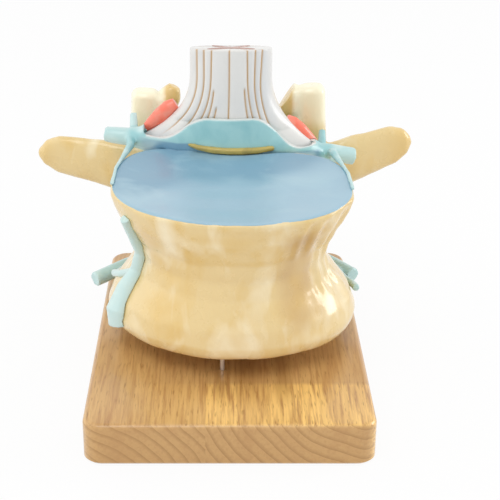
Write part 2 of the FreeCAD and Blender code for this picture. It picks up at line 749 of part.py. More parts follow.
if __name__ == "__main__":
    main()
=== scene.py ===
"""Finished surfaces, paint, board and stage for the enlarged lumbar vertebra model.

Meshes, noise and hill sizes are in metres, and the shape formulas work in millimetres.
The origin is at the middle of the board's underside, X runs to the right as seen from
the front, Y to the back and Z up.
"""
from math import pi, radians, tan

import bpy
import numpy as np
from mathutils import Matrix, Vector


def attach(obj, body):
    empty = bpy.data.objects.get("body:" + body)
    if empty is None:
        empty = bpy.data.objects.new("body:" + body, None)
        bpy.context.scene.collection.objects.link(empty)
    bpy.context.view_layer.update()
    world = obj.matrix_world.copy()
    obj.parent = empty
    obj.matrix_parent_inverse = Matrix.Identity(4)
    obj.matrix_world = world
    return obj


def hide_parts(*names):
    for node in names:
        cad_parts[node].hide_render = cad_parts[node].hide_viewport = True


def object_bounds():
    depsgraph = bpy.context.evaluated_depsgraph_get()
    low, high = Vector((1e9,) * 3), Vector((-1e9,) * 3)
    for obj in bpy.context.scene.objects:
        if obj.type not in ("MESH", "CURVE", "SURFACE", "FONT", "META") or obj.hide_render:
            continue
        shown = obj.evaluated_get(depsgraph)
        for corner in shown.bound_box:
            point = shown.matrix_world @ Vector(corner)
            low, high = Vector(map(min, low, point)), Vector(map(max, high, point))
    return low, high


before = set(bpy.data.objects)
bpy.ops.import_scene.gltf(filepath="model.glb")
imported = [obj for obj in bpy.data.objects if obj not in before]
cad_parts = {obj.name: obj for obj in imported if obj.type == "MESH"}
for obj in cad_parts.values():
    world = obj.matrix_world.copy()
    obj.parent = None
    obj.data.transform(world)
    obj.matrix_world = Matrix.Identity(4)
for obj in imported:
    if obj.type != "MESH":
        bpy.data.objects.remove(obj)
FRAME_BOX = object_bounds()

bl_info = {
    "name": "Lumbar Vertebra Model",
    "version": (1, 0, 0),
    "blender": (4, 5, 0),
    "location": "View3D > Sidebar > Vertebra",
    "description": "Finishes the enlarged lumbar vertebra, its nerves, board and stage",
    "category": "Object",
}

MM = 0.001
RODS = ("front", "rear_left", "rear_right")


def srgb(red, green, blue):
    """Linear colour from 0 to 255 screen values."""
    screen = np.array((red, green, blue)) / 255
    return tuple(np.where(screen > 0.04045, ((screen + 0.055) / 1.055) ** 2.4, screen / 12.92))


# Mesh tools

MICRONS = 1e6
SHRINK, GROW = 0.5, -0.52
WAVES = 7


def node_mesh(node):
    """Points and triangles of a CAD node, with points merged that agree to a thousandth of a millimetre."""
    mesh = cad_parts[node].data
    points = np.empty(len(mesh.vertices) * 3, np.float32)
    mesh.vertices.foreach_get("co", points)
    corners = np.empty(len(mesh.loops), np.int32)
    mesh.loops.foreach_get("vertex_index", corners)
    points = points.reshape(-1, 3)
    keys = np.round(points * MICRONS).astype(np.int64)
    _, first, back = np.unique(keys, axis=0, return_index=True, return_inverse=True)
    faces = back.reshape(-1)[corners].reshape(-1, 3)
    keep = (faces != np.roll(faces, -1, axis=1)).all(axis=1)
    return points[first].astype(float), faces[keep]


def place(name, points, faces, material, marks=None, smooth_angle=None):
    """A mesh object from arrays that rides on the frame, with a float attribute for each mark."""
    mesh = bpy.data.meshes.new(name)
    mesh.from_pydata(points.tolist(), [], [f.tolist() for f in faces])
    mesh.update()
    mesh.shade_smooth()
    if smooth_angle is not None:
        mesh.set_sharp_from_angle(angle=radians(smooth_angle))
    for label, values in (marks or {}).items():
        layer = mesh.attributes.new(label, "FLOAT", "POINT")
        layer.data.foreach_set("value", np.asarray(values, np.float32))
    mesh.materials.append(material)
    obj = bpy.data.objects.new(name, mesh)
    bpy.context.scene.collection.objects.link(obj)
    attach(obj, "root")
    return obj


def skin(points, faces, cube):
    """One closed skin of four-sided faces over closed shapes, cut on a grid of cubes."""
    mesh = bpy.data.meshes.new("core")
    mesh.from_pydata(points.tolist(), [], [f.tolist() for f in faces])
    obj = bpy.data.objects.new("core", mesh)
    bpy.context.scene.collection.objects.link(obj)
    grid = obj.modifiers.new("grid", "REMESH")
    grid.mode = "VOXEL"
    grid.voxel_size = cube
    done = obj.evaluated_get(bpy.context.evaluated_depsgraph_get()).to_mesh()
    found = np.empty(len(done.vertices) * 3, np.float32)
    done.vertices.foreach_get("co", found)
    corners = np.empty(len(done.loops), np.int32)
    done.loops.foreach_get("vertex_index", corners)
    if len(corners) != 4 * len(done.polygons):
        raise RuntimeError("the skin has faces that aren't four-sided")
    result = found.reshape(-1, 3).astype(float), corners.reshape(-1, 4)
    bpy.data.objects.remove(obj)
    bpy.data.meshes.remove(mesh)
    return result


def relaxed(points, faces, rounds):
    """Each round moves every point half way to the mean of its neighbours, then slightly more back."""
    pairs = np.concatenate([faces[:, (side, (side + 1) % 4)] for side in range(4)])
    pairs = np.unique(np.sort(pairs, axis=1), axis=0)
    count = len(points)
    near = np.bincount(pairs.ravel(), minlength=count)[:, None]
    for step in (SHRINK, GROW) * rounds:
        total = np.empty_like(points)
        for axis in range(3):
            total[:, axis] = np.bincount(pairs[:, 0], points[pairs[:, 1], axis], count)
            total[:, axis] += np.bincount(pairs[:, 1], points[pairs[:, 0], axis], count)
        points = points + step * (total / near - points)
    return points


def outward(points, faces):
    """Unit directions out of a closed surface, from the crossed diagonals of its faces."""
    corners = points[faces]
    across = np.cross(corners[:, 2] - corners[:, 0], corners[:, 3] - corners[:, 1])
    total = np.zeros_like(points)
    for corner in range(4):
        for axis in range(3):
            total[:, axis] += np.bincount(faces[:, corner], across[:, axis], len(points))
    return total / np.maximum(np.linalg.norm(total, axis=1), 1e-12)[:, None]


def lumps(points, size, seed):
    """Rolling hills, mostly from -1 to 1: a quarter of the sum of seven sine waves in mixed directions."""
    mixed = np.random.default_rng(seed)
    total = np.zeros(len(points))
    for _ in range(WAVES):
        way = mixed.normal(size=3)
        way *= 2 * pi / (size * mixed.uniform(0.7, 1.4) * np.linalg.norm(way))
        total += np.sin(points @ way + mixed.uniform(0, 2 * pi))
    return total / 4


def ring_faces(rows, columns):
    """Four-sided faces between neighbouring rings, each ring closed on itself."""
    row, column = np.meshgrid(np.arange(rows - 1), np.arange(columns), indexing="ij")
    here = (row * columns + column).ravel()
    side = (row * columns + (column + 1) % columns).ravel()
    return np.stack([here, side, side + columns, here + columns], axis=1)


def closed_tube(rings):
    """Points and faces of stacked rings, with a fan of triangles at each end."""
    rows, columns, _ = rings.shape
    points = np.concatenate([rings.reshape(-1, 3), rings[:1].mean(1), rings[-1:].mean(1)])
    here = np.arange(columns)
    side = (here + 1) % columns
    low = np.stack([side, here, np.full(columns, rows * columns)], axis=1)
    top = (rows - 1) * columns
    high = np.stack([top + here, top + side, np.full(columns, rows * columns + 1)], axis=1)
    return points, list(ring_faces(rows, columns)) + list(low) + list(high)


def signed_power(value, power):
    """The power of the size of a value, with the value's sign."""
    return np.sign(value) * np.abs(value) ** power


def block(centre, radii, power):
    """A closed superellipsoid: each coordinate is a radius times signed powers of sines and cosines."""
    up = np.linspace(-pi / 2, pi / 2, 26)[1:-1, None]
    turn = np.linspace(0, 2 * pi, 44, endpoint=False)[None, :]
    waves = (np.cos(up), np.sin(up), np.cos(turn), np.sin(turn))
    flat, high, along, across = (signed_power(wave, 2 / power) for wave in waves)
    rings = np.stack([flat * along, flat * across, high + 0 * along], axis=-1)
    return closed_tube((np.array(centre) + rings * radii) * MM)


def rise(low, high, value):
    """0 before low, 1 past high and a smooth S curve between; low may be the larger one."""
    share = np.clip((value - low) / (high - low), 0, 1)
    return share * share * (3 - 2 * share)


# Paint


def painted(name, colour, rough=0.3, coat=0.35, coat_rough=0.12):
    """A new material: its node tree and its surface shader."""
    material = bpy.data.materials.new(name)
    material.use_nodes = True
    shader = material.node_tree.nodes["Principled BSDF"]
    shader.inputs["Base Color"].default_value = (*colour, 1)
    shader.inputs["Roughness"].default_value = rough
    shader.inputs["Coat Weight"].default_value = coat
    shader.inputs["Coat Roughness"].default_value = coat_rough
    return material, material.node_tree, shader


def link(tree, source, socket, target, name):
    """Joins an output to an input, each found by name or number."""
    tree.links.new(source.outputs[socket], target.inputs[name])


def cloud(tree, size, detail=4.0, rough=0.55, stretch=(1, 1, 1), shift=(0, 0, 0), bend=0.0):
    """Soft noise whose blotches are about size metres across, where stretch is 1."""
    where = tree.nodes.new("ShaderNodeTexCoord")
    scaled = tree.nodes.new("ShaderNodeMapping")
    scaled.inputs["Scale"].default_value = stretch
    scaled.inputs["Location"].default_value = shift
    noise = tree.nodes.new("ShaderNodeTexNoise")
    noise.inputs["Scale"].default_value = 1 / size
    noise.inputs["Detail"].default_value = detail
    noise.inputs["Roughness"].default_value = rough
    noise.inputs["Distortion"].default_value = bend
    link(tree, where, "Object", scaled, "Vector")
    link(tree, scaled, "Vector", noise, "Vector")
    return noise


def spread(tree, source, socket, low, high):
    """A value stretched so that low becomes 0 and high becomes 1."""
    node = tree.nodes.new("ShaderNodeMapRange")
    node.inputs["From Min"].default_value = low
    node.inputs["From Max"].default_value = high
    link(tree, source, socket, node, "Value")
    return node


def spread_to(tree, source, socket, low, high):
    """A value from 0 to 1 turned into one from low to high."""
    node = tree.nodes.new("ShaderNodeMapRange")
    node.inputs["To Min"].default_value = low
    node.inputs["To Max"].default_value = high
    link(tree, source, socket, node, "Value")
    return node


def tint(tree, before, share, share_socket, colour):
    """Colour laid over the colour before it, as much as share says."""
    node = tree.nodes.new("ShaderNodeMix")
    node.data_type = "RGBA"
    node.inputs[7].default_value = (*colour, 1)
    if isinstance(before, bpy.types.Node):
        link(tree, before, 2, node, 6)
    else:
        node.inputs[6].default_value = (*before, 1)
    link(tree, share, share_socket, node, 0)
    return node


def mark(tree, name):
    """A mesh's own float attribute."""
    node = tree.nodes.new("ShaderNodeAttribute")
    node.attribute_name = name
    return node


def finish_colour(tree, shader, node):
    """Gives the last tint to the shader."""
    link(tree, node, 2, shader, "Base Color")


def grain(tree, shader, noise, strength, distance):
    """Bump from a noise."""
    node = tree.nodes.new("ShaderNodeBump")
    node.inputs["Strength"].default_value = strength
    node.inputs["Distance"].default_value = distance
    link(tree, noise, "Fac", node, "Height")
    link(tree, node, "Normal", shader, "Normal")


def streaky(tree, shader, noise, low, high):
    """Roughness that drifts from low to high with a noise."""
    node = tree.nodes.new("ShaderNodeMapRange")
    node.inputs["From Min"].default_value = 0.35
    node.inputs["From Max"].default_value = 0.65
    node.inputs["To Min"].default_value = low
    node.inputs["To Max"].default_value = high
    link(tree, noise, "Fac", node, "Value")
    link(tree, node, "Result", shader, "Roughness")


def bone_paint(settings):
    """Cream paint with ochre patches, pale worn streaks, painted shade and light, and a blue smear by the
    disc.
    """
    material, tree, shader = painted("bone_cream", settings.bone, coat=0.6, coat_rough=0.08)
    patches = spread(tree, cloud(tree, 0.03, 4, 0.5, (1.5, 1, 0.9), bend=0.5), "Fac", 0.47, 0.74)
    colour = tint(tree, settings.bone, patches, "Result", settings.ochre)
    pale = spread(tree, cloud(tree, 0.024, 3, 0.5, (1.4, 1, 0.7), (5, 2, 1), 0.4), "Fac", 0.5, 0.72)
    colour = tint(tree, colour, pale, "Result", settings.pale)
    # ochre: paint on the blade tips, a band under the rim and the back, and painted shade on the facet
    # blocks' inner sides
    colour = tint(tree, colour, mark(tree, "ochre"), "Fac", settings.ochre)
    # painted shade on the right of the waist
    colour = tint(tree, colour, mark(tree, "umber"), "Fac", settings.umber)
    # painted light that brightens the facet blocks over a paler cream
    colour = tint(tree, colour, mark(tree, "pale"), "Fac", settings.bright)
    colour = tint(tree, colour, mark(tree, "blue"), "Fac", settings.disc_dark)
    fine = cloud(tree, 0.003, 5, 0.6, (1, 1, 0.5))
    finish_colour(tree, shader, colour)
    grain(tree, shader, fine, 0.25, 0.0005)
    streaky(tree, shader, cloud(tree, 0.012, 3), 0.24, 0.38)
    return material


def plain_paint(name, colour, patch, size):
    """Gloss paint with soft patches of a second colour and faint brush grain."""
    material, tree, shader = painted(name, colour)
    share = spread(tree, cloud(tree, size, 4, 0.55, bend=0.5), "Fac", 0.45, 0.7)
    finish_colour(tree, shader, tint(tree, colour, share, "Result", patch))
    grain(tree, shader, cloud(tree, 0.002, 4), 0.15, 0.0004)
    return material


def disc_paint(settings):
    """Grey-blue paint with cloudy strokes, and a painted reflection of the sac and cord that darkens the
    back behind a slanting edge.
    """
    material, tree, shader = painted("disc_blue", settings.disc, 0.34)
    # the darker back of the disc is a painted reflection of the sac and cord
    colour = tint(tree, settings.disc, mark(tree, "dark"), "Fac", settings.disc_dark)
    strokes = spread(tree, cloud(tree, 0.04, 4, 0.5, (1, 1.3, 1), bend=0.6), "Fac", 0.5, 0.8)
    colour = tint(tree, colour, strokes, "Result", settings.disc_pale)
    finish_colour(tree, shader, colour)
    grain(tree, shader, cloud(tree, 0.004, 5), 0.2, 0.0005)
    return material


def dura_paint(settings):
    """Light teal paint, blue low down at the front, mint on the nerves and white on the cut edge."""
    material, tree, shader = painted("dura_teal", settings.dura)
    share = spread(tree, cloud(tree, 0.015, 4, 0.5, bend=0.4), "Fac", 0.45, 0.7)
    colour = tint(tree, settings.dura, share, "Result", settings.dura_deep)
    colour = tint(tree, colour, mark(tree, "blue"), "Fac", settings.disc_dark)
    colour = tint(tree, colour, mark(tree, "mint"), "Fac", settings.mint)
    colour = tint(tree, colour, mark(tree, "edge"), "Fac", settings.white)
    finish_colour(tree, shader, colour)
    grain(tree, shader, cloud(tree, 0.003, 4), 0.15, 0.0004)
    return material


def cord_paint(settings):
    """White paint with greyish streaks and brown in the grooves."""
    material, tree, shader = painted("cord_white", settings.white, 0.28)
    share = spread(tree, cloud(tree, 0.02, 3, 0.5, (1, 1, 0.4)), "Fac", 0.45, 0.75)
    colour = tint(tree, settings.white, share, "Result", settings.white_shade)
    colour = tint(tree, colour, mark(tree, "groove"), "Fac", settings.groove)
    finish_colour(tree, shader, colour)
    grain(tree, shader, cloud(tree, 0.003, 4, 0.5, (1, 1, 0.3)), 0.12, 0.0004)
    return material


BOARD_HALF_WIDTH = 75.0

# The board's staves from the left: left edge, how yellow the front end is, and how far
# the rings' centre goes through its range sideways and downwards
STAVES = (
    (-75.0, 0.1, 0.0, 0.0),
    (-43.0, 0.15, 0.0, 0.0),
    (-12.8, 0.8, 0.85, 0.85),
    (36.0, 1.0, 0.85, 0.85),
)

# Ranges in metres, each from where a value starts to where it is full
RING_SHIFT_X = (0.088, -0.11)
RING_SHIFT_Z = (0.04, -0.09)
YELLOW_FRONT = (-0.064, -0.067)
STREAK_FRONT = (-0.09, -0.066)
STREAK_LEFT = (-0.014, -0.01)
STREAK_RIGHT = (0.036, 0.03)


def stave_ramp(tree, axis):
    """Steps across the board, one for each stave: red is how yellow, green and blue shift the rings."""
    share = spread(tree, axis, "X", -BOARD_HALF_WIDTH * MM, BOARD_HALF_WIDTH * MM)
    ramp = tree.nodes.new("ShaderNodeValToRGB")
    ramp.color_ramp.interpolation = "CONSTANT"
    steps = ramp.color_ramp.elements
    while len(steps) < len(STAVES):
        steps.new(0.5)
    for step, (left, yellow, over, down) in zip(steps, STAVES):
        step.position = (left + BOARD_HALF_WIDTH) / (2 * BOARD_HALF_WIDTH)
        step.color = (yellow, over, down, 1)
    link(tree, share, "Result", ramp, "Fac")
    return ramp


def product(tree, first, first_socket, second, second_socket):
    """Two values multiplied."""
    node = tree.nodes.new("ShaderNodeMath")
    node.operation = "MULTIPLY"
    link(tree, first, first_socket, node, 0)
    link(tree, second, second_socket, node, 1)
    return node


def ring_wave(tree, where, parts):
    """Growth rings: a saw-toothed wave of circles about each stave's own centre, squashed along Y."""
    shift = tree.nodes.new("ShaderNodeCombineXYZ")
    link(tree, spread_to(tree, parts, "Green", *RING_SHIFT_X), "Result", shift, "X")
    link(tree, spread_to(tree, parts, "Blue", *RING_SHIFT_Z), "Result", shift, "Z")
    squash = tree.nodes.new("ShaderNodeMapping")
    squash.inputs["Scale"].default_value = (1, 0.06, 1)
    link(tree, where, "Object", squash, "Vector")
    centred = tree.nodes.new("ShaderNodeVectorMath")
    link(tree, squash, "Vector", centred, 0)
    link(tree, shift, "Vector", centred, 1)
    rings = tree.nodes.new("ShaderNodeTexWave")
    rings.wave_type = "RINGS"
    rings.rings_direction = "Y"
    rings.wave_profile = "SAW"
    rings.inputs["Scale"].default_value = 60
    rings.inputs["Distortion"].default_value = 3.5
    rings.inputs["Detail"].default_value = 2
    rings.inputs["Detail Scale"].default_value = 0.5
    link(tree, centred, "Vector", rings, "Vector")
    return rings


def wood_paint(settings):
    """Varnished light wood glued from staves.

    Growth rings are circles in the X-Z plane, so they show as arcs on the ends and as
    lines along the top. Long thin noise along Y is the grain and short dark dashes are
    the pores. The front part is yellower, each stave by its own share, and one stave
    has brown streaks behind it.
    """
    material, tree, shader = painted("board_wood", settings.wood, 0.34, 0.5, 0.1)
    where = tree.nodes.new("ShaderNodeTexCoord")
    axis = tree.nodes.new("ShaderNodeSeparateXYZ")
    link(tree, where, "Object", axis, "Vector")
    parts = tree.nodes.new("ShaderNodeSeparateColor")
    link(tree, stave_ramp(tree, axis), "Color", parts, "Color")
    facing = tree.nodes.new("ShaderNodeSeparateXYZ")
    link(tree, where, "Normal", facing, "Vector")
    slope = tree.nodes.new("ShaderNodeMath")
    slope.operation = "ABSOLUTE"
    link(tree, facing, "Y", slope, 0)
    side = spread(tree, slope, "Value", 0.85, 0.5)

    fibre = cloud(tree, 0.0015, 4, 0.55, (1, 0.05, 1), bend=0.3)
    lines = product(tree, spread(tree, fibre, "Fac", 0.44, 0.68), "Result",
                    spread(tree, slope, "Value", 1.6, 0.1), "Result")
    front = product(tree, spread(tree, axis, "Y", *YELLOW_FRONT), "Result", side, "Result")
    yellow = product(tree, parts, "Red", front, "Value")
    colour = tint(tree, settings.wood, yellow, "Value", settings.wood_yellow)
    colour = tint(tree, colour, spread(tree, slope, "Value", 0.5, 2.0), "Result", settings.wood_dark)
    colour = tint(tree, colour, lines, "Value", settings.wood_dark)

    arcs = product(tree, spread(tree, ring_wave(tree, where, parts), "Fac", 0.6, 1.4), "Result",
                   spread(tree, slope, "Value", -0.4, 1.0), "Result")
    colour = tint(tree, colour, arcs, "Value", settings.wood_brown)

    streak = cloud(tree, 0.009, 4, 0.6, (1, 0.06, 0.5), (1, 4, 2), 0.4)
    brown = product(tree, spread(tree, streak, "Fac", 0.42, 0.85), "Result", side, "Result")
    for name, ends in (("Y", STREAK_FRONT), ("X", STREAK_LEFT), ("X", STREAK_RIGHT)):
        brown = product(tree, brown, "Value", spread(tree, axis, name, *ends), "Result")
    colour = tint(tree, colour, brown, "Value", settings.wood_brown)
    broad = cloud(tree, 0.022, 3, 0.5, (1, 0.15, 0.6), (3, 1, 2), 0.5)
    colour = tint(tree, colour, spread(tree, broad, "Fac", 0.5, 0.9), "Result", settings.wood_dark)
    pores = cloud(tree, 0.001, 2, 0.5, (1, 0.1, 1), (7, 3, 5))
    pores = product(tree, spread(tree, pores, "Fac", 0.58, 0.8), "Result", side, "Result")
    colour = tint(tree, colour, pores, "Value", settings.wood_brown)
    finish_colour(tree, shader, colour)
    grain(tree, shader, fibre, 0.12, 0.0003)
    return material


def seen_rays(tree):
    """1 for what the camera sees, also in gloss or through glass, and 0 for light on the object."""
    rays = tree.nodes.new("ShaderNodeLightPath")
    seen, socket = rays, "Is Camera Ray"
    for ray in ("Is Glossy Ray", "Is Transmission Ray"):
        larger = tree.nodes.new("ShaderNodeMath")
        larger.operation = "MAXIMUM"
        link(tree, seen, socket, larger, 0)
        link(tree, rays, ray, larger, 1)
        seen, socket = larger, "Value"
    return seen


def metal_paint(name, colour, rough):
    """Bare steel with fine drawn lines."""
    material, tree, shader = painted(name, colour, rough, 0.0)
    shader.inputs["Metallic"].default_value = 1.0
    lines = cloud(tree, 0.0008, 3, 0.5, (1, 1, 0.05))
    streaky(tree, shader, lines, rough - 0.06, rough + 0.08)
    return material


# Sizes and colours


def colour_property(name, description, value):
    """A colour that the panel shows."""
    return bpy.props.FloatVectorProperty(
        name=name, description=description, default=value, size=3, subtype="COLOR", min=0, max=1)


def length_property(name, description, value, low=0.0, high=1.0):
    """A length in metres that the panel shows."""
    return bpy.props.FloatProperty(
        name=name, description=description, default=value, min=low, max=high, unit="LENGTH",
        subtype="DISTANCE", precision=5)


class VertebraPaint(bpy.types.PropertyGroup):
    """Colours of the painted pieces and the wood."""

    bone: colour_property("Bone", "Cream ground colour of the bone", srgb(231, 205, 147))
    ochre: colour_property("Ochre", "Patches on the bone", srgb(226, 192, 118))
    pale: colour_property("Pale bone", "Worn streaks on the bone", srgb(246, 231, 194))
    # The next colour is painted shade on the right of the waist
    umber: colour_property("Bone shade", "Wash over the right of the waist", srgb(198, 162, 108))
    # The next colour is a paler cream on the facet blocks with painted light
    bright: colour_property("Bright bone", "Facet blocks", srgb(255, 250, 222))
    disc: colour_property("Disc", "Front of the disc", srgb(152, 187, 205))
    # The next colour is a painted reflection on the disc's back, and the real blue of the sac's and rim's
    # blue bands
    disc_dark: colour_property("Disc shade", "Back of the disc", srgb(116, 158, 182))
    disc_pale: colour_property("Disc strokes", "Cloudy strokes on the disc", srgb(166, 199, 212))
    dura: colour_property("Dural sac", "Sac and sleeves", srgb(158, 206, 208))
    dura_deep: colour_property("Dural sac shade", "Patches on the sac", srgb(140, 194, 198))
    mint: colour_property("Nerve", "Pale nerves and trunk", srgb(197, 224, 222))
    mint_pale: colour_property("Pale trunk", "Patches on the sympathetic trunk", srgb(204, 226, 222))
    white: colour_property("Cord", "Spinal cord and roots", srgb(226, 224, 220))
    white_shade: colour_property("Cord shade", "Streaks on the cord", srgb(208, 210, 212))
    groove: colour_property("Grooves", "Paint in the cord's grooves", srgb(196, 152, 92))
    grey_matter: colour_property("Grey matter", "Butterfly on the cord's cut end", srgb(150, 84, 58))
    grey_matter_pale: colour_property("Pale grey matter", "Patches on the butterfly", srgb(190, 122, 92))
    ganglion: colour_property("Ganglion", "Root swellings", srgb(255, 124, 98))
    ganglion_pale: colour_property("Pale ganglion", "Patches on the root swellings", srgb(250, 150, 128))
    ligament: colour_property("Ligament", "Strip behind the disc", srgb(192, 170, 88))
    ligament_shade: colour_property("Ligament shade", "Patches on the strip", srgb(158, 138, 72))
    wood: colour_property("Wood", "Light wood of the board", srgb(211, 168, 106))
    wood_dark: colour_property("Wood grain", "Darker grain lines", srgb(184, 136, 80))
    wood_yellow: colour_property("Warm wood", "Front part of the staves", srgb(246, 200, 118))
    wood_brown: colour_property("Brown streaks", "Dark streaks and pores", srgb(146, 100, 40))


class VertebraSizes(bpy.types.PropertyGroup):
    """Sizes that set how fine the surfaces are and how deep the carving is."""

    bone_cube: length_property("Bone mesh", "Mesh size of the bone", 1.15 * MM, 0.6 * MM, 4 * MM)
    sac_cube: length_property("Sac mesh", "Mesh size of the dural sac", 0.85 * MM, 0.5 * MM, 4 * MM)
    small_cube: length_property(
        "Small mesh", "Mesh size of ganglia, ligament and trunk", 0.5 * MM, 0.3 * MM, 2 * MM)
    groove_depth: length_property("Groove depth", "Depth of the cord's grooves", 0.7 * MM, 0, 3 * MM)
    groove_width: length_property(
        "Groove width", "Half width of the cord's grooves", 0.45 * MM, 0.1 * MM, 3 * MM)


def light_property(name, description, value):
    """A lamp's power in watts, or the brightness of the surroundings."""
    return bpy.props.FloatProperty(name=name, description=description, default=value, min=0)


class VertebraStage(bpy.types.PropertyGroup):
    """Light and camera."""

    key: light_property("Key light", "Power of the upper lamp", 6.2)
    left: light_property("Left light", "Power of the left lamp", 4.5)
    right: light_property("Right light", "Power of the right lamp", 4.2)
    ambient: light_property("Ambient", "Brightness of the surroundings", 0.77)
    lens: length_property("Lens", "Focal length for a 36 mm sensor", 91.55, 1, 500)


# Sizes shared with the solids, in millimetres

MIDDLE_X = 1.5
BODY_FRONT_Y = -62.0
BODY_MIDDLE_Y = -10.0
BODY_DEPTH = 112.0
BODY_HEIGHT = 77.0
WAIST_HEIGHT = 41.0
BODY_FLOOR = 35.0
TOP_RISE = 3.4
BACK_DIP = 12.0
DIP_HALF_WIDTH = 27.0
UPPER_HALF_WIDTH = 66.8
UPPER_SETBACK = 52.0
UPPER_SQUARENESS = 3.4
SKEW = 0.05
TOP_INSET = 1.0
EDGE_Z = BODY_FLOOR + BODY_HEIGHT + TOP_RISE * (BODY_DEPTH - BACK_DIP) / BODY_DEPTH
SAC_TO_CORD = 3.5
CORD_HALF_WIDTH = 24.0
CORD_HALF_DEPTH = 16.5
CORD_Y = BODY_FRONT_Y + BODY_DEPTH - BACK_DIP + SAC_TO_CORD + CORD_HALF_DEPTH
CORD_LEAN = radians(9.2)
CORD_TOP = 170.4


def rim_line(angle, inset):
    """The body's top outline in millimetres, drawn in by inset.

    The front half is half an ellipse and the back half a superellipse with a dip in
    the middle; the whole leans back towards the left.
    """
    c, s = np.cos(angle), np.sin(angle)
    draw = TOP_INSET + inset
    half = UPPER_HALF_WIDTH - draw
    back = s > 0
    power = np.where(back, 2 / UPPER_SQUARENESS, 1.0)
    x = half * signed_power(c, power)
    depth = np.where(back, BODY_DEPTH - UPPER_SETBACK - draw, UPPER_SETBACK - draw)
    y = depth * signed_power(s, power)
    y = y - np.where(back, BACK_DIP * np.exp(-(x / DIP_HALF_WIDTH) ** 2), 0)
    y = y + BODY_FRONT_Y + UPPER_SETBACK - (SKEW + SKEW * np.maximum(s, 0)) * x
    z = BODY_FLOOR + BODY_HEIGHT + TOP_RISE * (y - BODY_FRONT_Y) / BODY_DEPTH
    return np.stack([MIDDLE_X + x, y, z], axis=-1)


def cord_axis(z):
    """Y of the cord's middle in millimetres; it leans back above the body."""
    return CORD_Y + np.maximum(z - EDGE_Z, 0) * tan(CORD_LEAN)


# The vertebra

# Centre, radii and power of the blocks that fill the notches of the facet blocks
FILLERS = (((-43, 93.5, 126.5), (8.5, 7.2, 8.4), 3.4), ((40.5, 94, 130), (7.5, 7, 9.6), 3.0))
# From the left to the right of the body: how far the flare is drawn in, and the power
FLARE_SIDES = (-40, 40)
FLARE_PUSH = (1.6, 2.7)
FLARE_POWER = (3.3, 2.4)
BOX_MARGIN = 0.02


def drawn_in(points):
    """The flare under the disc drawn in towards a straight slope from the waist to the rim.

    The push towards the middle is a sine of a power of the share of the way up.
    """
    x, y, z = (points / MM).T
    height = (z - BODY_FLOOR) / (1 + TOP_RISE * (y - BODY_FRONT_Y) / BODY_DEPTH / BODY_HEIGHT)
    up = np.clip((height - WAIST_HEIGHT) / (BODY_HEIGHT - WAIST_HEIGHT), 0, 1)
    push = np.interp(x, FLARE_SIDES, FLARE_PUSH)
    push = push * np.sin(pi * up ** np.interp(x, FLARE_SIDES, FLARE_POWER)) * rise(34, 14, y)
    dx, dy = x - MIDDLE_X, y - BODY_MIDDLE_Y
    reach = np.maximum(np.hypot(dx, dy), 20)
    return points - np.stack([dx, dy, 0 * z], axis=1) * (push / reach * MM)[:, None]


def joined(shapes):
    """Points and faces of several shapes in one list each."""
    points, faces, count = [], [], 0
    for more_points, more_faces in shapes:
        points.append(more_points)
        faces += [face + count for face in more_faces]
        count += len(more_points)
    return np.concatenate(points), faces


def with_limbs_shaped(points):
    """The right facet block's inner lobe cut down to a slant, and the transverse blades raised.

    The blades rise by 2.4 mm on the left and 2.8 on the right towards their upper edges,
    less at the tips, and the right one by 1.3 mm more away from the body.
    """
    x, y, z = (points / MM).T
    lobe = (x > 22) & (x < 42) & (y > 78) & (y < 108)
    slant = 140.2 - 1.75 * np.maximum(40.5 - x, 0)
    z = np.where(lobe & (z > slant), slant + 0.12 * (z - slant), z)
    blade = rise(62, 80, np.abs(x)) * rise(70, 80, y)
    far = blade * rise(126, 108, np.abs(x))
    z = z + np.where(x < 0, 2.4, 2.8) * far * rise(92, 104, z - np.where(x < 0, 0, 4))
    z = z + 1.3 * rise(84, 104, x) * blade
    return np.stack([x, y, z], axis=1) * MM


def body_angle(x, y):
    """Degrees round the body's middle, 0 at the right and 90 at the front."""
    return np.degrees(np.arctan2(-(y - BODY_MIDDLE_Y), x - MIDDLE_X))


def carving(points):
    """How far each point of the bone moves outwards, in millimetres.

    Hills of 0.35 and 0.1 mm cover the bone up to the disc. On the right of the body,
    sines of the angle round it make creases of 0.8 mm in the upper flare, lines of
    0.7 mm above the waist and ripples of 0.4 mm below it, all bent by small hills.
    """
    x, y, z = (points / MM).T
    turn = body_angle(x, y)
    fan = rise(8, 16, turn) * rise(58, 44, turn) * rise(84, 93, z) * rise(111, 105, z)
    creases = np.sin(radians(1) * 31 * turn + 1.3 * lumps(points, 0.03, 3))
    low = rise(-12, 4, turn) * rise(48, 30, turn) * rise(44, 54, z) * rise(98, 84, z)
    ripples = np.sin(radians(1) * 15 * turn + z / 8) + 0.8 * lumps(points, 0.014, 7)
    waist = rise(-6, 4, turn) * rise(38, 26, turn) * rise(58, 66, z) * rise(98, 90, z)
    lines = np.sin(radians(1) * 34 * turn + 1.4 * lumps(points, 0.025, 8))
    move = 0.35 * lumps(points, 0.035, 1) + 0.1 * lumps(points, 0.009, 2)
    move = move * rise(116.5, 112, z + 20 * (y > 55))
    return move + 0.8 * fan * creases + 0.4 * low * ripples + 0.7 * waist * lines


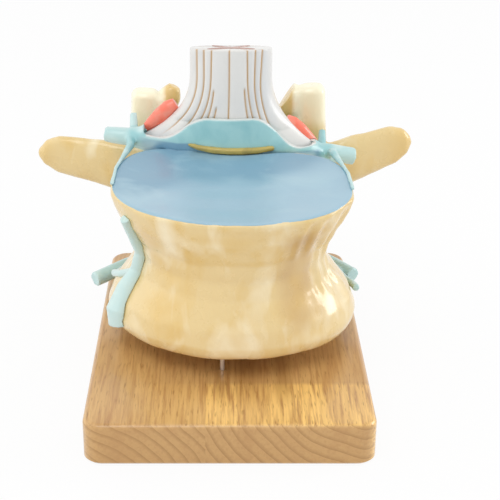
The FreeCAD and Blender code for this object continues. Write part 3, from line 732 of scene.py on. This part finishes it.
def bone_marks(before, carved):
    """Where the bone's second colours lie, from the points before they were carved.

    Ochre covers the tips of the blades, a cloudy band under the rim and the back as paint,
    and the inner sides of the facet blocks as painted shade. Umber, a painted shade,
    darkens the right of the body, pale is painted light over a paler cream on the facet
    blocks, and blue covers the rim behind the disc's left end.
    """
    x, y, z = (before / MM).T
    turn = body_angle(x, y)
    tips = 0.75 * rise(92, 112, x) + 0.55 * rise(-104, -116, x)
    # The inner sides of the facet blocks get ochre as painted shade
    knob = rise(78, 84, y) * rise(122, 128, z) * rise(-41, -37, x) * rise(0, -2, x)
    inner = rise(78, 84, y) * rise(116, 122, z) * rise(41, 38, x) * rise(0, 2, x)
    band = rise(86, 94, z) * rise(108, 100, z) * rise(20, 0, y)
    band = band * np.clip(0.2 + lumps(carved, 0.03, 9), 0, 0.8)
    ochre = np.clip(tips + 0.8 * knob + 0.8 * inner + band + 0.3 * rise(104, 112, y), 0, 0.9)
    # Painted shade on the right of the waist
    shade = rise(26, 38, turn) * rise(66, 50, turn) * rise(44, 60, z) * rise(108, 98, z)
    umber = shade * np.clip(0.55 + 0.25 * lumps(carved, 0.02, 4), 0, 1)
    # Painted light over a paler cream on the facet blocks
    pale = 0.9 * rise(80, 88, y) * rise(112, 122, z) * (1 - knob) * (1 - inner)
    blue = rise(110.4, 111.6, z) * rise(-24, -30, x) * rise(-68, -64, x) * rise(24, 32, y) * rise(62, 56, y)
    return {"ochre": ochre, "umber": umber, "pale": pale, "blue": blue}


def build_bone(paint, sizes):
    """The vertebra: its solid and the disc's joined under one skin, relaxed and carved.

    Two blocks fill the notches of the facet blocks, the flare is drawn in and the limbs
    are shaped. Points then move along the outward direction, and are kept from passing
    the back of the solids' box.
    """
    shapes = [node_mesh("lumbar_vertebra"), node_mesh("intervertebral_disc")]
    shapes += [block(*filler) for filler in FILLERS]
    points, faces = skin(*joined(shapes), sizes.bone_cube)
    points = drawn_in(relaxed(points, faces, 14))
    points = relaxed(with_limbs_shaped(points), faces, 3)
    carved = points + outward(points, faces) * (carving(points) * MM)[:, None]
    carved[:, 1] = np.minimum(carved[:, 1], FRAME_BOX[1][1] - BOX_MARGIN * MM)
    return place("vertebra_bone", carved, faces, bone_paint(paint), bone_marks(points, carved))


# The disc

DISC_INSET = 0.9
DISC_RISE = 0.75
DISH_DEPTH = 3.6
DISH_SCALES = (0.06, *np.linspace(0.12, 0.94, 42), 0.97, 0.985, 0.996, 1.0, 1.002)
EDGE_START, EDGE_WIDTH, EDGE_DROP = 0.97, 0.032, 0.5
HILL_HEIGHT = 0.35
# How deep and at which scale the two rings lie that close the disc inside the bone
SKIRT = ((1.2, 1.0), (5.4, 0.9))


def build_disc(paint):
    """The disc's shallow dish: scaled copies of the rim line.

    Each sinks by the dish's depth times one less the square of its scale. The edge is
    rounded down with a square too, and low hills fade out towards it. Behind a slanting
    wavy line the back is darker, a painted reflection of the sac and cord.
    """
    edge = rim_line(np.linspace(0, 2 * pi, 240, endpoint=False), DISC_INSET)
    middle = edge.mean(0)
    scales = np.array(DISH_SCALES)
    rings = middle + (edge - middle) * scales[:, None, None]
    sink = DISH_DEPTH * (1 - np.minimum(scales, 1) ** 2)
    edge_drop = np.where(scales > EDGE_START, EDGE_DROP * ((scales - EDGE_START) / EDGE_WIDTH) ** 2, 0)
    rings[:, :, 2] += (DISC_RISE - sink - edge_drop)[:, None]
    flat = rings.reshape(-1, 3) * MM
    hills = lumps(flat * (1, 1.6, 0), 0.04, 11).reshape(rings.shape[:2])
    rings[:, :, 2] += hills * HILL_HEIGHT * (1 - scales[:, None] ** 4)
    skirt = [middle + (rings[-1] - middle) * scale - (0, 0, depth) for depth, scale in SKIRT]
    points, faces = closed_tube(np.concatenate([rings, skirt])[::-1])
    x, y = points[:, 0], points[:, 1]
    line = 2 + 0.42 * x - 5 * np.sin(x / 16)
    # Painted reflection of the sac and cord on the disc's back
    dark = 0.85 * rise(-9, 12, y - line + 4 * lumps(points * MM, 0.025, 12))
    return place("disc_dish", points * MM, faces, disc_paint(paint), {"dark": dark})


# The cord

# Right and left values of the roots: height where they start to spread and where they
# end, reach to the side, and power of the curve between
ROOT_START = (155.0, 157.5)
ROOT_END = (109.5, 118.5)
ROOT_REACH = (55.5, 53.0)
ROOT_POWER = (2.1, 2.5)
ROOT_BEND = 6.0
TIP = 3.2
BEVEL = 0.3
FLUTE_WIDTH = 1.7
FLUTE_DEPTH = 0.45
# Grooves: share of the half width at the cord's top and low down, and the shares of the
# way up at which each one ends above and below
GROOVES = (
    (-0.844, -0.83, 1.02, 0.10), (-0.667, -0.66, 1.02, 0.10), (-0.477, -0.53, 1.02, 0.12),
    (-0.41, -0.41, 0.60, 0.12), (-0.30, -0.30, 0.42, 0.12), (-0.046, -0.05, 1.02, 0.05),
    (0.32, 0.31, 0.62, 0.10), (0.388, 0.42, 1.02, 0.08), (0.59, 0.53, 1.02, 0.05),
    (0.763, 0.63, 1.02, 0.02),
)
GROOVE_FOOT = 118


def cord_grooves(x, half, z, width):
    """Depth shares of the grooves and of the wider flutes about them: bell curves across the cord."""
    along = (z - GROOVE_FOOT) / (CORD_TOP - GROOVE_FOOT)
    groove, flute = np.zeros_like(x), np.zeros_like(x)
    for at_top, low_down, high_end, low_end in GROOVES:
        middle = low_down + (at_top - low_down) * np.clip(along, 0, 1)
        gap = (x / half - middle) * half
        fade = rise(low_end - 0.08, low_end + 0.1, along)
        if high_end < 1:
            fade = rise(high_end, high_end - 0.06, along) * fade
        groove = np.maximum(groove, np.exp(-(gap / width) ** 2) * fade)
        flute = np.maximum(flute, np.exp(-(gap / FLUTE_WIDTH) ** 2) * fade)
    return groove, flute


def build_cord(paint, sizes):
    """The cord with its roots as one surface of rings.

    Each ring is a superellipse with a rounded tip. Its half width grows below a start
    height as a power of the way down to the roots' ends, and its power falls from 2.3
    to 1.2, so that the roots taper to the sides. The rings tilt back with the cut top
    and bend back at the sides with the square of the distance.
    """
    levels = np.concatenate([
        np.linspace(38, 104, 12), np.linspace(106, CORD_TOP - 0.8, 150), [CORD_TOP - 0.25, CORD_TOP]])
    t = np.linspace(0, 2 * pi, 420, endpoint=False)
    z = np.repeat(levels[:, None], len(t), 1)
    c, s = np.cos(t)[None, :], np.sin(t)[None, :]
    start, end, reach, power = (
        np.where(c > 0, *sides) for sides in (ROOT_START, ROOT_END, ROOT_REACH, ROOT_POWER))
    way = np.clip((start - z) / (start - end), 0, 1)
    flare = way ** power * (1 - rise(0, 7, end - z))
    half = CORD_HALF_WIDTH + (reach - CORD_HALF_WIDTH) * flare
    shape = 2 / (2.3 - 1.1 * np.minimum(flare * 2.2, 1))
    bevel = np.where(levels >= CORD_TOP - BEVEL, (levels - CORD_TOP + BEVEL) * 2.0, 0)[:, None]
    x = (half - TIP) * signed_power(c, shape) + (TIP - bevel) * c
    y = (CORD_HALF_DEPTH - TIP) * signed_power(s, shape) + (TIP - bevel) * s
    groove, flute = cord_grooves(x, half, z, sizes.groove_width / MM)
    depth = sizes.groove_depth / MM * groove + FLUTE_DEPTH * flute
    out = np.hypot(c, s * 1.4)
    x = x - depth * c / out
    y = y - depth * s / out
    lean = rise(104, 150, z) * tan(CORD_LEAN)
    back = y + ROOT_BEND * (np.abs(x) / 54) ** 2
    rings = np.stack([MIDDLE_X + x, cord_axis(z) + back, z - y * lean], axis=-1)
    points, faces = closed_tube(rings * MM)
    marks = {"groove": np.concatenate([groove.ravel(), [0, 0]])}
    return place("cord_and_roots", points, faces, cord_paint(paint), marks, 50)


# Scale and height of each ring of the grey matter
BUTTERFLY_RINGS = ((1.0, -0.6), (1.0, 0.15), (0.97, 0.3), (0.6, 0.3), (0.1, 0.3))


def build_grey(material):
    """The butterfly on the cord's cut top.

    Its radius is 4.6 mm plus a bell curve of 11 mm for each front horn, 28 degrees
    forwards of the side, and one of 12.5 mm for each back horn, 50 degrees behind it.
    """
    t = np.linspace(-pi, pi, 240, endpoint=False)
    side = np.degrees(np.arctan2(np.sin(t), np.abs(np.cos(t))))
    reach = 4.6 + 11 * np.exp(-((side + 28) / 20) ** 2) + 12.5 * np.exp(-((side - 50) / 13) ** 2)
    x, y = reach * np.cos(t), reach * np.sin(t)
    rings = []
    for scale, level in BUTTERFLY_RINGS:
        rings.append(np.stack([MIDDLE_X + x * scale, cord_axis(CORD_TOP) + y * scale,
                               CORD_TOP + level - y * scale * tan(CORD_LEAN)], axis=-1))
    points, faces = closed_tube(np.array(rings) * MM)
    return place("grey_matter_plate", points, faces, material, smooth_angle=40)


# The dural sac and the small pieces

# How far the sac's cut edge stands above the rim's back, in the middle and at the sides,
# and over which distances from the middle it falls
MIDDLE_CUT = 20.0
LEFT_CUT, RIGHT_CUT = 6.5, 0.5
CUT_START, CUT_WIDTH = 12.0, 30.0
# Height of the line under which the sac's front is blue, at distances from the middle
BLUE_LINE = ((-20, 25, 53), (119.9, 115.3, 112.2))


def cut_height(x):
    """Height of the sac's cut edge, in millimetres, at a distance from the middle: a half cosine wave."""
    low = np.where(x < 0, LEFT_CUT, RIGHT_CUT)
    fall = np.clip((np.abs(x) - CUT_START) / CUT_WIDTH, 0, 1)
    fall = 0.5 - 0.5 * np.cos(pi * fall)
    return EDGE_Z + MIDDLE_CUT + (low - MIDDLE_CUT) * fall


def build_sac(paint, sizes):
    """The dural sac with its sleeves and nerves: one skin over the solid, relaxed.

    White paint follows the cut edge and blue lies low on the front. Mint covers the
    nerves, the lower end and the stubs, with small touches towards the sides.
    """
    points, faces = skin(*node_mesh("dural_sac"), sizes.sac_cube)
    points = relaxed(points, faces, 6)
    x, y, z = (points / MM).T
    x = x - MIDDLE_X
    side = np.abs(x)
    edge = np.where(side < 50, 0.85 * rise(-0.8, -0.1, z - cut_height(x)), 0)
    low_front = rise(56, 50, side) * rise(60, 54, y) * rise(100, 106, z)
    blue = rise(0.6, -0.6, z - np.interp(x, *BLUE_LINE)) * low_front
    nerves = np.maximum(rise(58, 63, side), rise(100, 80, z)) * 0.7
    stubs = rise(121, 124, z) * rise(50, 53, side)
    touches = rise(30, 44, side) * np.clip(lumps(points, 0.012, 6) - 0.2, 0, 0.5)
    marks = {"edge": edge, "blue": blue, "mint": np.clip(nerves + stubs + touches, 0, 1)}
    return place("dural_sac_skin", points, faces, dura_paint(paint), marks)


def build_small(node, name, material, cube):
    """A small painted piece: one skin over its solid, relaxed and moved with the flare."""
    points, faces = skin(*node_mesh(node), cube)
    return place(name, drawn_in(relaxed(points, faces, 5)), faces, material)


def carried_over(node, name, material):
    """A merged copy of a CAD node with smooth shading below 35 degrees."""
    points, faces = node_mesh(node)
    return place(name, points, faces, material, smooth_angle=35)


# Operators


class MODEL_OT_bone(bpy.types.Operator):
    """Build the painted vertebra"""

    bl_idname = "vertebra.bone"
    bl_label = "Vertebra"

    def execute(self, context):
        piece = build_bone(context.scene.vertebra_paint, context.scene.vertebra_sizes)
        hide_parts("lumbar_vertebra")
        return {"FINISHED"}


class MODEL_OT_disc(bpy.types.Operator):
    """Build the disc's painted dish and the strip behind it"""

    bl_idname = "vertebra.disc"
    bl_label = "Disc and ligament"

    def execute(self, context):
        paint, sizes = context.scene.vertebra_paint, context.scene.vertebra_sizes
        piece = build_disc(paint)
        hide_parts("intervertebral_disc")
        olive = plain_paint("ligament_olive", paint.ligament, paint.ligament_shade, 0.01)
        strip = build_small("posterior_ligament", "ligament_strip", olive, sizes.small_cube)
        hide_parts("posterior_ligament")
        return {"FINISHED"}


class MODEL_OT_cord(bpy.types.Operator):
    """Build the spinal cord with its roots and the grey matter"""

    bl_idname = "vertebra.cord"
    bl_label = "Cord"

    def execute(self, context):
        paint = context.scene.vertebra_paint
        piece = build_cord(paint, context.scene.vertebra_sizes)
        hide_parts("spinal_cord")
        brown = plain_paint("grey_matter_pink", paint.grey_matter, paint.grey_matter_pale, 0.006)
        butterfly = build_grey(brown)
        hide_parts("grey_matter")
        return {"FINISHED"}


class MODEL_OT_nerves(bpy.types.Operator):
    """Build the dural sac, ganglia and sympathetic trunk"""

    bl_idname = "vertebra.nerves"
    bl_label = "Sac and nerves"

    def execute(self, context):
        paint, sizes = context.scene.vertebra_paint, context.scene.vertebra_sizes
        sac = build_sac(paint, sizes)
        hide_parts("dural_sac")
        coral = plain_paint("ganglion_coral", paint.ganglion, paint.ganglion_pale, 0.008)
        for side in ("left", "right"):
            piece = build_small(side + "_ganglion", side + "_root_ganglion", coral, sizes.small_cube)
            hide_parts(side + "_ganglion")
        mint = plain_paint("trunk_mint", paint.mint, paint.mint_pale, 0.014)
        trunk = build_small("sympathetic_trunk", "trunk_skin", mint, sizes.small_cube)
        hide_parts("sympathetic_trunk")
        return {"FINISHED"}


class MODEL_OT_board(bpy.types.Operator):
    """Finish the board, rods, nuts and washers"""

    bl_idname = "vertebra.board"
    bl_label = "Board and rods"

    def execute(self, context):
        board = carried_over("base_board", "board_of_staves", wood_paint(context.scene.vertebra_paint))
        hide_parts("base_board")
        drawn = metal_paint("rod_drawn_steel", (0.8, 0.79, 0.77), 0.34)
        zinc = metal_paint("zinc_plate", (0.7, 0.72, 0.74), 0.24)
        for rod in RODS:
            for part, material, slot in (
                    ("_support_rod", drawn, "rod_steel"),
                    ("_washer", zinc, "hardware_steel"),
                    ("_nut", zinc, "hardware_steel")):
                piece = carried_over(rod + part, rod + part + "_metal", material)
                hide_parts(rod + part)
        return {"FINISHED"}


# Metres, degrees and shares of the frame; each lamp has a name, a place and a size
CAMERA_SPOT = (-4.9 * MM, -654.5 * MM, 363.3 * MM)
CAMERA_PITCH = 24
CAMERA_SHIFT = 0.06
LAMPS = (
    ("key", (-0.3, -0.8, 1.5), 1.0),
    ("left", (-1.15, 0.05, 0.6), 1.9),
    ("right", (1.15, 0.25, 0.45), 0.6),
)
LAMP_AIM = Vector((0, 0, 0.08))
FLOOR_RADIUS = 4.0
FLOOR_GAP = 0.0002
FLOOR_GLOW = 0.92


class MODEL_OT_stage(bpy.types.Operator):
    """Set the floor, backdrop, lamps and camera"""

    bl_idname = "vertebra.stage"
    bl_label = "Stage"

    def execute(self, context):
        scene = context.scene
        stage = scene.vertebra_stage
        scene.view_settings.view_transform = "Standard"
        self.add_floor()
        self.add_world(stage.ambient)
        for name, spot, size in LAMPS:
            self.add_lamp(name, spot, size, getattr(stage, name))
        camera = bpy.data.cameras.new("camera")
        camera.lens = stage.lens
        camera.sensor_width = 36
        camera.shift_x = CAMERA_SHIFT
        camera.clip_start = 0.01
        view = bpy.data.objects.new("camera", camera)
        view.location = CAMERA_SPOT
        view.rotation_euler = (radians(90 - CAMERA_PITCH), 0, 0)
        scene.collection.objects.link(view)
        scene.camera = view
        return {"FINISHED"}

    def add_floor(self):
        """A round pale floor that looks white to the camera but keeps part of the shadow."""
        material, tree, shader = painted("floor_white", (0.85, 0.85, 0.85), 0.9, 0.0)
        glow = tree.nodes.new("ShaderNodeEmission")
        glow.inputs["Color"].default_value = (1, 1, 1, 1)
        share = tree.nodes.new("ShaderNodeMath")
        share.operation = "MULTIPLY"
        share.inputs[1].default_value = FLOOR_GLOW
        mixed = tree.nodes.new("ShaderNodeMixShader")
        link(tree, seen_rays(tree), "Value", share, 0)
        link(tree, share, "Value", mixed, "Fac")
        link(tree, shader, "BSDF", mixed, 1)
        link(tree, glow, "Emission", mixed, 2)
        link(tree, mixed, "Shader", tree.nodes["Material Output"], "Surface")
        t = np.linspace(0, 2 * pi, 96, endpoint=False)
        points = np.stack([FLOOR_RADIUS * np.cos(t), FLOOR_RADIUS * np.sin(t), 0 * t - FLOOR_GAP], axis=1)
        mesh = bpy.data.meshes.new("floor")
        mesh.from_pydata(points.tolist(), [], [list(range(len(t)))])
        mesh.materials.append(material)
        floor = bpy.data.objects.new("floor", mesh)
        bpy.context.scene.collection.objects.link(floor)

    def add_world(self, strength):
        """Even surroundings, white where the camera sees them, also in gloss or through glass."""
        world = bpy.data.worlds.new("surroundings")
        bpy.context.scene.world = world
        world.use_nodes = True
        tree = world.node_tree
        back = tree.nodes["Background"]
        back.inputs["Color"].default_value = (1, 1, 1, 1)
        level = tree.nodes.new("ShaderNodeMapRange")
        level.inputs["To Min"].default_value = strength
        level.inputs["To Max"].default_value = 1.0
        link(tree, seen_rays(tree), "Value", level, "Value")
        link(tree, level, "Result", back, "Strength")

    def add_lamp(self, name, spot, size, power):
        """A round soft lamp that faces the model."""
        lamp = bpy.data.lights.new(name, "AREA")
        lamp.shape = "DISK"
        lamp.size = size
        lamp.energy = power
        obj = bpy.data.objects.new(name, lamp)
        obj.location = spot
        obj.rotation_euler = (LAMP_AIM - Vector(spot)).to_track_quat("-Z", "Y").to_euler()
        bpy.context.scene.collection.objects.link(obj)


OPERATORS = (MODEL_OT_board, MODEL_OT_bone, MODEL_OT_disc, MODEL_OT_cord, MODEL_OT_nerves, MODEL_OT_stage)


class MODEL_PT_vertebra(bpy.types.Panel):
    """Lists the operators and their settings"""

    bl_label = "Vertebra"
    bl_idname = "MODEL_PT_vertebra"
    bl_space_type = "VIEW_3D"
    bl_region_type = "UI"
    bl_category = "Vertebra"

    def draw(self, context):
        column = self.layout.column()
        for operator in OPERATORS:
            column.operator(operator.bl_idname)
        scene = context.scene
        for group in (scene.vertebra_paint, scene.vertebra_sizes, scene.vertebra_stage):
            for name in group.__annotations__:
                column.prop(group, name)


GROUPS = (VertebraPaint, VertebraSizes, VertebraStage)


def register():
    for item in GROUPS + OPERATORS + (MODEL_PT_vertebra,):
        bpy.utils.register_class(item)
    bpy.types.Scene.vertebra_paint = bpy.props.PointerProperty(type=VertebraPaint)
    bpy.types.Scene.vertebra_sizes = bpy.props.PointerProperty(type=VertebraSizes)
    bpy.types.Scene.vertebra_stage = bpy.props.PointerProperty(type=VertebraStage)


def unregister():
    del bpy.types.Scene.vertebra_stage
    del bpy.types.Scene.vertebra_sizes
    del bpy.types.Scene.vertebra_paint
    for item in reversed(GROUPS + OPERATORS + (MODEL_PT_vertebra,)):
        bpy.utils.unregister_class(item)


def main():
    register()
    bpy.ops.vertebra.board()
    bpy.ops.vertebra.bone()
    bpy.ops.vertebra.disc()
    bpy.ops.vertebra.cord()
    bpy.ops.vertebra.nerves()
    bpy.ops.vertebra.stage()


if __name__ == "__main__":
    main()
